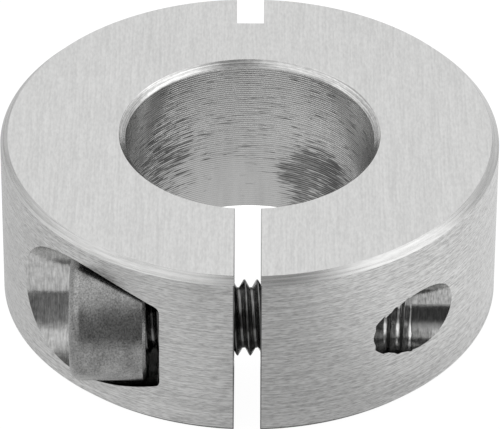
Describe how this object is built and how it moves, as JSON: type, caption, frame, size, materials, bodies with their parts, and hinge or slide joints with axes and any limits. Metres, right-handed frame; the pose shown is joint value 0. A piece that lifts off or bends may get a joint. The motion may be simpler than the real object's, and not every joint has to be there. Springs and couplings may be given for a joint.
{
  "type": "clamping shaft collar",
  "caption": "Slit steel ring that clamps on a round shaft: a socket head cap screw crosses the slit and pulls the jaws together.",
  "frame": {"origin": "on the bore's axis, in the plane of the lower end face", "axes": "+Z along the bore's axis towards the upper end face, -Y through the slit, +Y through the relief notch, X along the screw with its head on the -X side"},
  "size_m": [0.04, 0.04, 0.015],
  "materials": {
    "ring_steel": "fine turned and ground bare stainless steel",
    "screw_steel": "satin, slightly darker cold-headed stainless steel"
  },
  "bodies": {
    "ring": {"collar_body": "ring_steel"},
    "screw": {"clamp_screw": "screw_steel"}
  },
  "joints": [
    {"name": "screw_turn", "type": "hinge", "parent": "ring", "child": "screw", "pos_m": [0, -0.0147, 0.0075], "axis": [1, 0, 0], "range_deg": [-2484, 378]}
  ]
}
